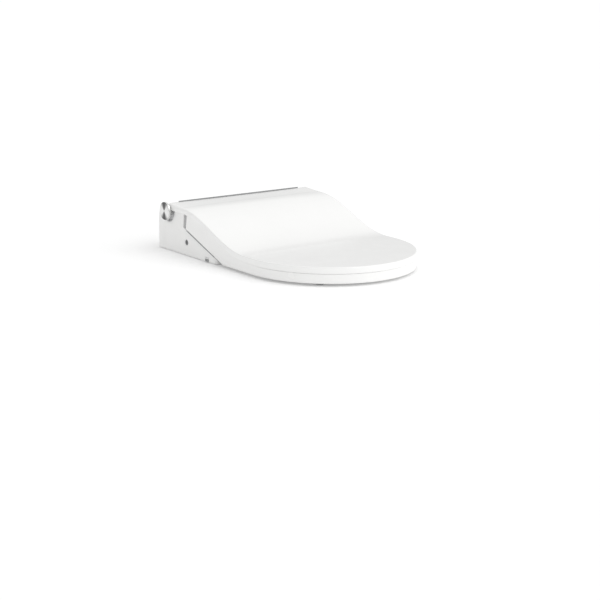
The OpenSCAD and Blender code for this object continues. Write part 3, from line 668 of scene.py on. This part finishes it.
def seat_rib(angle, top_steps=16, lip=9 * MM, edge=0.6 * MM):
    """One rib of the ring, from the outer lower edge round to the hole's lower edge."""
    direction = Vector((math.cos(angle), math.sin(angle), 0))
    outer = seat_outline_hit(direction)
    inner = hole_point(angle)
    across = (inner - outer).normalized()
    low = seat_under(outer.y)
    side_top = seat_top_z(outer.y) - edge
    rib = [Vector((outer.x, outer.y, low + (side_top - low) * k / 4)) for k in range(4)]
    for k in range(5):
        turn = math.pi / 2 * k / 4
        spot = outer + across * edge * (1 - math.cos(turn))
        rib.append(Vector((spot.x, spot.y, seat_top_z(spot.y) - edge * (1 - math.sin(turn)))))
    start = outer + across * edge
    end = inner - across * lip
    for k in range(1, top_steps + 1):
        share = k / top_steps
        spot = start.lerp(end, share)
        dish = seat_dish * ease((share - 0.35) / 0.65)
        rib.append(Vector((spot.x, spot.y, seat_top_z(spot.y) - dish)))
    for k in range(1, 9):
        turn = math.pi / 2 * k / 8
        spot = inner - across * lip * (1 - math.sin(turn))
        rib.append(Vector((spot.x, spot.y, seat_top_z(end.y) - seat_dish - lip * (1 - math.cos(turn)))))
    low = seat_under(inner.y)
    last = rib[-1].z
    for k in range(1, 3):
        rib.append(Vector((inner.x, inner.y, last + (low - last) * k / 2)))
    return rib


def leaned(mesh, reach=60 * MM):
    """Tips the shoulders' end faces forward at the top, along the slot beside the cheeks."""
    for vert in mesh.vertices:
        near = (vert.co.y - (seat_rear - reach)) / reach
        if near > 0:
            low = seat_under(vert.co.y)
            high = (vert.co.z - low) / (seat_top_z(vert.co.y) - low)
            vert.co.y -= seat_lean * near * min(max(high, 0), 1)
    return mesh


ring_sheet = leaned(loft("seat_ring", [seat_rib(a) for a in seat_angles()], closed=True))
ring = new_piece("seat_ring", ring_sheet, seat_white)
ring_wall = ring.modifiers.new("wall", "SOLIDIFY")
ring_wall.thickness = 2.6 * MM
ring_wall.offset = -1
add_bevel(ring, 0.8 * MM, 2, 45)
plain_mesh(ring)
smooth(ring.data, 38)
settle(ring, "seat", ["seat_top"])
print("seat ring:", len(ring.data.polygons), "faces")


# %% The plate under the seat
def inset_between(outer, inner, distance):
    """Moves two facing points towards each other."""
    across = (inner - outer).normalized()
    return outer + across * distance, inner - across * distance


plate_sides = [inset_between(seat_outline_hit(Vector((math.cos(a), math.sin(a), 0))), hole_point(a), 3.4 * MM)
               for a in seat_angles()]
plate_t = 2.2 * MM


def plate_rib(outer, inner, steps=10):
    """Out along the bottom and back along the top of the plate."""
    spots = [outer.lerp(inner, k / steps) for k in range(steps + 1)]
    bottom = [Vector((s.x, s.y, seat_under(s.y) + 0.3 * MM)) for s in spots]
    top = [Vector((p.x, p.y, p.z + plate_t)) for p in reversed(bottom)]
    return bottom + top + [bottom[0].copy()]


plate_sheet = loft("seat_plate", [plate_rib(*s) for s in plate_sides], closed=True)
seat_plate = new_piece("seat_plate", plate_sheet, seat_white)
outward(seat_plate.data)
smooth(seat_plate.data)
settle(seat_plate, "seat", ["seat_bottom"])
print("seat plate:", len(seat_plate.data.polygons), "faces")

# %% [markdown]
# ## Casings, arms and trims
# These keep the shape that the mechanical model gives them, because joints and gaps depend on it. They only
# get their moulded edges. The radius of an edge is the maker's choice: large outer casings have about a
# millimetre, thin trims and clips half of that.

# %% Softened parts
body_of = {n: b for b, members in frame["record"]["behaviour"]["bodies"].items() for n in members}
softened = {
    "base_casing": 0.9, "rear_cover": 0.9, "front_panel": 0.5, "rear_strip": 0.3, "hinge_cover": 1.2,
    "slot_liners": 0.3, "seat_arms": 1.4, "lid_arms": 1.0, "dial_collar": 0.35, "deodoriser_cartridge": 0.7,
    "mounting_plate": 0.8, "dryer_flap": 0.25, "wand_tube": 0.3, "wand_tip": 0.5, "release_latch": 0.4,
    "chassis_tray": 0.5,
}
# Paler copies of the dark trim colour, as painted light: the slot liners and the dial's collar sit in shade,
# and these lift them.
lit_trim = finish("lit_trim", (0.5, 0.505, 0.51), 0.45, ripple=0.12, ripple_scale=1800, shade=0.92)
lit_collar = finish("lit_collar", (0.8, 0.805, 0.81), 0.45, ripple=0.12, ripple_scale=1800, shade=0.94)
painted_light_finishes = {"slot_liners": lit_trim, "dial_collar": lit_collar}
for node, radius in softened.items():
    soften(node, body_of[node], radius * MM, painted_light_finishes.get(node, finishes[slot_of[node]]))


# %% [markdown]
# ### A dark strip along the slope, as painted shade
# Under the seat's lower edge a dark strip lies on the casing as painted shade, which makes the gap read as
# one dark line. It is a small L-shaped profile swept along the casing's side view: down the slope to the
# nose. The profile stands square to the path, and its last station is half as tall, so that the strip thins
# out at the nose.

# %% The painted shade strip's path and profile
casing_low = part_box("base_casing")[0]
nose = Vector((slope_start, nose_z))
gap_shade_stops = (seat_rear + 1 * MM, -60 * MM, nose.x)
gap_shade_path = [Vector((y, nose.y + (y - nose.x) * slope_rise)) for y in gap_shade_stops]
gap_shade_profile = [
    (-0.35, -1.5), (-0.05, -1.5), (-0.05, 0.1), (9, 0.1), (9, 2.3), (0.9, 2.5), (-0.1, 2.2), (-0.35, 1.6),
]


def swept(name, path, profile, side_x, hand, tall):
    """A closed profile of (in, out) points swept along a (y, z) path beside a wall at side_x."""
    work = bmesh.new()
    rings = []
    for i, spot in enumerate(path):
        before = (spot - path[i - 1]).normalized() if i else (path[1] - spot).normalized()
        after = (path[i + 1] - spot).normalized() if i < len(path) - 1 else before
        away = Vector((before.y + after.y, -before.x - after.x)).normalized()
        away = away / away.dot(Vector((before.y, -before.x)))
        rings.append([work.verts.new((hand * (side_x + u * MM), spot.x + away.x * v * MM * tall[i],
                                      spot.y + away.y * v * MM * tall[i])) for u, v in profile])
    count = len(profile)
    for one, two in zip(rings, rings[1:]):
        for k in range(count):
            m = (k + 1) % count
            work.faces.new((one[k], one[m], two[m], two[k]))
    work.faces.new(rings[0])
    work.faces.new(list(reversed(rings[-1])))
    bmesh.ops.recalc_face_normals(work, faces=work.faces)
    mesh = freeze(work, name)
    smooth(mesh)
    return new_piece(name, mesh, dark_trim)


# Both strips are painted shade in the slope gap, in the dark trim colour.
gap_shade_strips = [swept("trim_" + side, gap_shade_path, gap_shade_profile, casing_low.x, hand, (1, 1, 0.5))
         for side, hand in (("left", 1), ("right", -1))]
for gap_shade_strip in gap_shade_strips:
    settle(gap_shade_strip, "base")
print("trims:", [len(t.data.polygons) for t in gap_shade_strips], "faces")


# %% Painted shadow on the deodoriser cartridge: a dark block in the notch and a grey line at the top
def rounded_block(name, low, high, radius, material):
    """A small block with rounded edges between two corners."""
    work = bmesh.new()
    bmesh.ops.create_cube(work, size=1)
    low, high = Vector(low), Vector(high)
    size = high - low
    for vert in work.verts:
        vert.co = low + Vector([(vert.co[k] + 0.5) * size[k] for k in range(3)])
    bmesh.ops.bevel(work, geom=list(work.edges), offset=radius, segments=2, affect="EDGES", profile=0.5)
    mesh = freeze(work, name)
    smooth(mesh)
    return new_piece(name, mesh, material)


cartridge_low, cartridge_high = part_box("deodoriser_cartridge")
face_x = cartridge_low.x
notch_low, notch_high = cartridge_low, Vector((face_x, cartridge_high.y, cartridge_low.z))
# A dark rubber block in the notch: painted shadow under the cartridge's tab.
undercut_shade_block = rounded_block("cartridge_grip", notch_low + Vector((-1.0, 0.9, 0.2)) * MM,
                     notch_high + Vector((0.4, -1.4, 5.8)) * MM, 0.45 * MM, rubber)
settle(undercut_shade_block, "cartridge")
# A thin grey block along the top: a painted shadow line over the tab.
edge_shade_low = Vector((face_x, cartridge_low.y, cartridge_high.z))
edge_shade_high = Vector((face_x, cartridge_high.y, cartridge_high.z))
edge_shade_block = rounded_block("cartridge_ledge", edge_shade_low + Vector((-0.4, 1.2, -1.7)) * MM,
                      edge_shade_high + Vector((0.4, -1.2, -0.4)) * MM, 0.2 * MM, finishes["grey_plastic"])
settle(edge_shade_block, "cartridge")
print("undercut_shade_block", [round(v, 4) for v in undercut_shade_block.dimensions])

# %% [markdown]
# ## Round pieces by Geometry Nodes
# The dial, the buffers, the pads and the water inlet are turned shapes. One node tree makes them all: it
# sweeps a profile round a very small circle, so every point of the profile draws its own ring, and merges
# the doubles at the centre. The profile is the object's own mesh, so the tree needs only the number of
# steps, the circle's radius and the material.


# %% The lathe tree
def node_tree(name, inputs):
    """A geometry tree with named inputs: the tree, its two ends, and each input's identifier."""
    tree = bpy.data.node_groups.new(name, "GeometryNodeTree")
    face = tree.interface
    face.new_socket("Geometry", in_out="INPUT", socket_type="NodeSocketGeometry")
    keys = {}
    for label, kind in inputs.items():
        keys[label] = face.new_socket(label, in_out="INPUT", socket_type="NodeSocket" + kind).identifier
    face.new_socket("Geometry", in_out="OUTPUT", socket_type="NodeSocketGeometry")
    return tree, tree.nodes.new("NodeGroupInput"), tree.nodes.new("NodeGroupOutput"), keys


def realize_and_paint(tree, enter, leave, shape):
    """Realize Instances and Set Material, which end every tree here."""
    real = tree.nodes.new("GeometryNodeRealizeInstances")
    paint = tree.nodes.new("GeometryNodeSetMaterial")
    tree.links.new(shape, real.inputs["Geometry"])
    tree.links.new(real.outputs["Geometry"], paint.inputs["Geometry"])
    tree.links.new(enter.outputs["Material"], paint.inputs["Material"])
    tree.links.new(paint.outputs["Geometry"], leave.inputs["Geometry"])


def node_item(name, mesh, tree, keys, values):
    """An object whose mesh goes through a tree and comes out plain."""
    item = bpy.data.objects.new(name, mesh)
    bpy.context.scene.collection.objects.link(item)
    modifier = item.modifiers.new(tree.name, "NODES")
    modifier.node_group = tree
    for label, value in values.items():
        modifier[keys[label]] = value
    return plain_mesh(item)


def lathe_tree():
    """Profile edges in, turned solid out."""
    tree, enter, leave, keys = node_tree("lathe", {"Steps": "Int", "Circle": "Float", "Material": "Material"})
    nodes, links = tree.nodes, tree.links
    circle = nodes.new("GeometryNodeCurvePrimitiveCircle")
    profile = nodes.new("GeometryNodeMeshToCurve")
    sweep = nodes.new("GeometryNodeCurveToMesh")
    merge = nodes.new("GeometryNodeMergeByDistance")
    merge.inputs["Distance"].default_value = 0.002 * MM
    links.new(enter.outputs["Steps"], circle.inputs["Resolution"])
    links.new(enter.outputs["Circle"], circle.inputs["Radius"])
    links.new(enter.outputs["Geometry"], profile.inputs["Mesh"])
    links.new(circle.outputs["Curve"], sweep.inputs["Curve"])
    links.new(profile.outputs["Curve"], sweep.inputs["Profile Curve"])
    links.new(sweep.outputs["Mesh"], merge.inputs["Geometry"])
    realize_and_paint(tree, enter, leave, merge.outputs["Geometry"])
    return tree, keys


lathe, lathe_keys = lathe_tree()
LATHE_CIRCLE = 1 * MM


def rounded(profile, radius, steps=4):
    """A profile of (r, h) points with its corners rounded."""
    points = [Vector(profile[0])]
    for before, here, after in zip(profile, profile[1:], profile[2:]):
        a, b, c = Vector(before), Vector(here), Vector(after)
        reach = min(radius, (a - b).length * 0.45, (c - b).length * 0.45)
        start, end = b + (a - b).normalized() * reach, b + (c - b).normalized() * reach
        for k in range(steps + 1):
            t = k / steps
            points.append(start * (1 - t) ** 2 + b * 2 * t * (1 - t) + end * t ** 2)
    return points + [Vector(profile[-1])]


def turned(name, profile, place, direction, material, radius=0.3, steps=64):
    """A turned solid: profile in millimetres from the axis, bottom first, along a direction from a place."""
    points = rounded(profile, radius)
    mesh = bpy.data.meshes.new(name)
    spots = [(p.x * MM - LATHE_CIRCLE, -p.y * MM, 0) for p in points]
    mesh.from_pydata(spots, [(i, i + 1) for i in range(len(spots) - 1)], [])
    values = {"Steps": steps, "Circle": LATHE_CIRCLE, "Material": material}
    item = node_item(name, mesh, lathe, lathe_keys, values)
    turn = Vector(direction).to_track_quat("Z", "Y").to_matrix().to_4x4()
    item.data.transform(Matrix.Translation(place) @ turn)
    outward(item.data)
    smooth(item.data)
    return item


def joined(name, items):
    """Several meshes as one piece."""
    work = bmesh.new()
    for item in items:
        work.from_mesh(item.data)
    made = new_piece(name, freeze(work, name), items[0].data.materials[0])
    for item in items:
        bpy.data.objects.remove(item)
    smooth(made.data)
    return made


print("lathe inputs:", sorted(lathe_keys))

# %% The dial
dial_low, dial_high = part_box("dial_knob")
dial_r = (dial_high.y - dial_low.y) / 2 / MM
dial_depth = (dial_high.x - dial_low.x) / MM
disc_t = 6.3
neck_r = 11.5
dial_profile = [
    (0, 0), (neck_r, 0), (neck_r, dial_depth - disc_t), (dial_r - 0.9, dial_depth - disc_t),
    (dial_r, dial_depth - disc_t + 0.9), (dial_r, dial_depth - 1.3), (dial_r - 1.3, dial_depth),
    (dial_r - 2.0, dial_depth), (dial_r - 2.2, dial_depth - 0.25), (1.6, dial_depth - 0.25),
    (1.2, dial_depth - 0.6), (0, dial_depth - 0.6),
]
dial = turned("dial", dial_profile, (dial_high.x, axis_y, axis_z), (-1, 0, 0), dial_metal, steps=128)
settle(dial, "dial", ["dial_knob"])
print("dial", round(dial_r, 2), "mm radius,", len(dial.data.polygons), "faces")


# %% Buffers, pads and the release button
def pill(height, radius, dome):
    """Profile of a rubber buffer with a soft end."""
    inner, upper = radius - dome, height - dome
    return [(0, 0), (inner, 0), (radius, dome), (radius, upper), (inner, height), (0, height)]


def islands(node):
    """Middle, low end and high end of each separate solid of a part."""
    work = bmesh.new()
    work.from_mesh(merged_copy(node))
    left, found = set(work.verts), []
    while left:
        queue, group = [left.pop()], []
        while queue:
            vert = queue.pop()
            group.append(vert.co.copy())
            for edge in vert.link_edges:
                other = edge.other_vert(vert)
                if other in left:
                    left.remove(other)
                    queue.append(other)
        low = Vector([min(p[k] for p in group) for k in range(3)])
        high = Vector([max(p[k] for p in group) for k in range(3)])
        found.append((low, high))
    work.free()
    return sorted(found, key=lambda f: (round(f[0].x, 4), round(f[0].y, 4)))


for node, body in (("seat_buffers", "seat"), ("lid_buffers", "lid"), ("base_pads", "base")):
    made = []
    for low, high in islands(node):
        radius = (high.x - low.x) / 2 / MM
        height = (high.z - low.z) / MM
        spot = ((low.x + high.x) / 2, (low.y + high.y) / 2, low.z)
        profile = pill(height, radius, min(1.2, height / 3))
        made.append(turned("one", profile, spot, (0, 0, 1), rubber, steps=40))
    piece = joined(node + "_turned", made)
    settle(piece, body, [node])
    print(piece.name, "from", len(made), "solids")

button_low, button_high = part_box("release_button")
button_r = (button_high.y - button_low.y) / 2 / MM
button_long = (button_high.x - button_low.x) / MM
cap_foot, stem_r = button_long - 8, 3
button_profile = [
    (0, 0), (stem_r, 0), (stem_r, cap_foot), (button_r, cap_foot), (button_r, button_long - 0.5),
    (button_r - 0.8, button_long), (button_r - 1.6, button_long), (0, button_long - 0.7),
]
button = turned("release_button_turned", button_profile,
                (button_high.x, (button_low.y + button_high.y) / 2, (button_low.z + button_high.z) / 2),
                (-1, 0, 0), dark_plastic, radius=0.25, steps=48)
settle(button, "release", ["release_button"])

# %% The water inlet with its thread, and the cable gland
inlet_low, inlet_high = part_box("water_inlet")
inlet_mid = Vector(((inlet_low.x + inlet_high.x) / 2, inlet_low.y, (inlet_low.z + inlet_high.z) / 2))
flange_r = (inlet_high.x - inlet_low.x) / 2 / MM
inlet_long = (inlet_high.y - inlet_low.y) / MM
spigot_r = flange_r - 4
bore_r = spigot_r - 3.3
thread = []
pitch = 1.8
flange_t = inlet_long - 14
for turn_number in range(7):
    height = flange_t + 1 + turn_number * pitch
    thread += [(spigot_r - 0.8, height), (spigot_r, height + pitch / 2)]
inlet_profile = [(bore_r, 0), (flange_r, 0), (flange_r, flange_t), (spigot_r - 0.9, flange_t)] + thread + \
    [(spigot_r - 0.9, inlet_long - 0.4), (spigot_r - 1.2, inlet_long), (bore_r, inlet_long), (bore_r, 0)]
inlet = turned("water_inlet_turned", inlet_profile, inlet_mid, (0, 1, 0), brass, radius=0.2, steps=72)
settle(inlet, "base", ["water_inlet"])

gland_low, gland_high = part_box("cable_gland")
gland_mid = Vector(((gland_low.x + gland_high.x) / 2, gland_low.y, (gland_low.z + gland_high.z) / 2))
gland_r = (gland_high.x - gland_low.x) / 2 / MM
gland_long = (gland_high.y - gland_low.y) / MM
gland_profile = [(3.6, 0), (gland_r, 0), (gland_r, 3), (9, 3), (9, gland_long - 4.5), (7.4, gland_long - 4.0),
                 (8.2, gland_long - 3.2), (6.6, gland_long - 2.4), (7.4, gland_long - 1.6), (5.4, gland_long),
                 (3.6, gland_long), (3.6, 0)]
gland = turned("cable_gland_turned", gland_profile, gland_mid, (0, 1, 0), dark_plastic)
settle(gland, "base", ["cable_gland"])
print("inlet", round(spigot_r, 2), "mm radius; gland", round(gland_long, 1), "mm long")

# %% [markdown]
# ## What repeats: screws and slats
# A second tree copies one small piece to many places. It takes the places from its own mesh's points, turns
# each copy by a random angle about its own axis, as a hand with a screwdriver leaves it, and realizes the
# copies, because an exported model has no instances. The seed is fixed, so every run gives the same angles.


# %% The copying tree
def scatter_tree():
    """Points in, copies of a piece out."""
    inputs = {"Piece": "Object", "Spin": "Float", "Seed": "Int", "Material": "Material"}
    tree, enter, leave, keys = node_tree("copies", inputs)
    nodes, links = tree.nodes, tree.links
    points = nodes.new("GeometryNodeMeshToPoints")
    info = nodes.new("GeometryNodeObjectInfo")
    chance = nodes.new("FunctionNodeRandomValue")
    angle = nodes.new("ShaderNodeCombineXYZ")
    copies = nodes.new("GeometryNodeInstanceOnPoints")
    links.new(enter.outputs["Geometry"], points.inputs["Mesh"])
    links.new(enter.outputs["Piece"], info.inputs["Object"])
    links.new(enter.outputs["Spin"], chance.inputs[3])
    links.new(enter.outputs["Seed"], chance.inputs["Seed"])
    links.new(chance.outputs[1], angle.inputs["Z"])
    links.new(points.outputs["Points"], copies.inputs["Points"])
    links.new(info.outputs["Geometry"], copies.inputs["Instance"])
    links.new(angle.outputs["Vector"], copies.inputs["Rotation"])
    realize_and_paint(tree, enter, leave, copies.outputs["Instances"])
    return tree, keys


copier, copier_keys = scatter_tree()


def copies_of(name, piece, places, material, spin=0.0, seed=7):
    """A piece copied to places; the pattern piece itself is removed."""
    mesh = bpy.data.meshes.new(name)
    mesh.from_pydata([tuple(p) for p in places], [], [])
    values = {"Piece": piece, "Spin": spin, "Seed": seed, "Material": material}
    item = node_item(name, mesh, copier, copier_keys, values)
    bpy.data.objects.remove(piece)
    smooth(item.data)
    return item


print("copier inputs:", sorted(copier_keys))


# %% Casing screws with a cross in the head
def cross_screw(head_r, head_t, shank_r, long, recess=1.0):
    """A pan-head screw, head down at z = 0, with a cross cut into the head."""
    work = bmesh.new()
    sides = 24
    arm = head_r * 0.62
    profile = [(head_r * 0.75, 0), (head_r * 0.95, 0.25), (head_r, 0.6), (head_r, head_t), (shank_r, head_t),
               (shank_r, long - 0.6), (shank_r * 0.5, long)]
    angles = [2 * math.pi * i / sides for i in range(sides)]
    rings = [[work.verts.new((r * math.cos(a), r * math.sin(a), h)) for a in angles] for r, h in profile]
    for one, two in zip(rings, rings[1:]):
        for i in range(sides):
            k = (i + 1) % sides
            work.faces.new((one[i], one[k], two[k], two[i]))
    work.faces.new(list(reversed(rings[-1])))
    half = arm * 0.22
    cross = [(arm, -half), (arm, half), (half, half), (half, arm), (-half, arm), (-half, half), (-arm, half),
             (-arm, -half), (-half, -half), (-half, -arm), (half, -arm), (half, -half)]
    rim_low = [work.verts.new((x, y, 0)) for x, y in cross]
    floor_ring = [work.verts.new((x * 0.7, y * 0.7, recess)) for x, y in cross]
    for i in range(len(cross)):
        k = (i + 1) % len(cross)
        work.faces.new((rim_low[i], rim_low[k], floor_ring[k], floor_ring[i]))
    work.faces.new(floor_ring)
    edges = [e for e in work.edges if e.is_boundary]
    bmesh.ops.triangle_fill(work, use_beauty=True, use_dissolve=False, edges=edges)
    bmesh.ops.scale(work, vec=(MM, MM, MM), verts=work.verts)
    bmesh.ops.remove_doubles(work, verts=work.verts, dist=0.001 * MM)
    bmesh.ops.recalc_face_normals(work, faces=work.faces)
    item = bpy.data.objects.new("screw", freeze(work, "screw"))
    bpy.context.scene.collection.objects.link(item)
    return item


screw_ends = islands("casing_screws")
screw_places = [Vector(((low.x + high.x) / 2, (low.y + high.y) / 2, low.z)) for low, high in screw_ends]
screw_long = (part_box("casing_screws")[1].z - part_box("casing_screws")[0].z) / MM
screws = copies_of("casing_screws_crossed", cross_screw(3.5, 1.7, 1.7, screw_long), screw_places, steel,
                   spin=math.pi, seed=11)
settle(screws, "base", ["casing_screws"])
print("screws:", len(screw_places))


# %% Slats of the air intake, under the right side of the base
def slat(long, wide, thick):
    """One slat with rounded ends, in millimetres, centred, its face down."""
    work = bmesh.new()
    ends = 8
    outline_points = []
    for side in (1, -1):
        for i in range(ends + 1):
            angle = -math.pi / 2 + math.pi * i / ends
            x = (long - wide) / 2 + wide / 2 * math.cos(angle)
            outline_points.append((side * x, side * wide / 2 * math.sin(angle)))
    low = [work.verts.new((x * 0.985, y * 0.8, 0)) for x, y in outline_points]
    mid = [work.verts.new((x, y, thick * 0.3)) for x, y in outline_points]
    top = [work.verts.new((x, y, thick)) for x, y in outline_points]
    work.faces.new(list(reversed(low)))
    work.faces.new(top)
    for one, two in ((low, mid), (mid, top)):
        for i in range(len(one)):
            k = (i + 1) % len(one)
            work.faces.new((one[i], one[k], two[k], two[i]))
    bmesh.ops.scale(work, vec=(MM, MM, MM), verts=work.verts)
    bmesh.ops.recalc_face_normals(work, faces=work.faces)
    item = bpy.data.objects.new("slat", freeze(work, "slat"))
    bpy.context.scene.collection.objects.link(item)
    return item


tray_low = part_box("chassis_tray")[0]
slat_t = 0.7
slat_x = -tray_low.x - 42 * MM
slat_places = [Vector((slat_x, (-20 + i * 6) * MM, tray_low.z - slat_t * MM + 0.1 * MM)) for i in range(9)]
slats = copies_of("intake_slats", slat(40, 2.4, slat_t), slat_places, finishes[slot_of["chassis_tray"]])
settle(slats, "base")
print("slats:", len(slat_places))

# %% [markdown]
# ## The parts inside
# Pumps, heaters, boards and fans sit in the dark, so they keep their mechanical meshes. Each one gets its
# finish by its slot in the record, and nothing of the meshes themselves is changed.

# %% Finishes for the parts that stay
hidden = set()
for item in bpy.data.objects:
    hidden.update(item.get("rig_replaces", []))
kept = sorted(set(frame["nodes"]) - hidden)
for node in kept:
    mesh = frame["nodes"][node].data
    mesh.materials.clear()
    mesh.materials.append(finishes[slot_of[node]])
print(len(kept), "parts kept, such as", kept[:4])

# %% [markdown]
# ## The floor
# A plain pale floor, just under the rim plane. It isn't part of the object. It only catches the soft shadow.

# %% Floor and the box's growth
floor_mesh = bpy.data.meshes.new("floor")
reach = 14
corners = [(-reach, -reach, 0), (reach, -reach, 0), (reach, reach, 0), (-reach, reach, 0)]
floor_mesh.from_pydata(corners, [], [(0, 1, 2, 3)])
floor_finish = bpy.data.materials.new("floor_finish")
floor_finish.use_nodes = True
floor_shader = floor_finish.node_tree.nodes["Principled BSDF"]
floor_shader.inputs["Base Color"].default_value = (0.95, 0.95, 0.95, 1)
floor_shader.inputs["Roughness"].default_value = 0.9
floor_shader.inputs["Specular IOR Level"].default_value = 0.0
floor_shader.inputs["Emission Color"].default_value = (1, 1, 1, 1)
floor_shader.inputs["Emission Strength"].default_value = 0.1
floor = new_piece("floor", floor_mesh, floor_finish)
floor.data.transform(Matrix.Translation((0, 0, -0.4 * MM)))
floor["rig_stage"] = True

visual_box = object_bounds()
growth = [round((a - b) / MM, 2) for pair in zip(visual_box, cad_box) for a, b in zip(*pair)]
print("box grows by", growth, "mm")
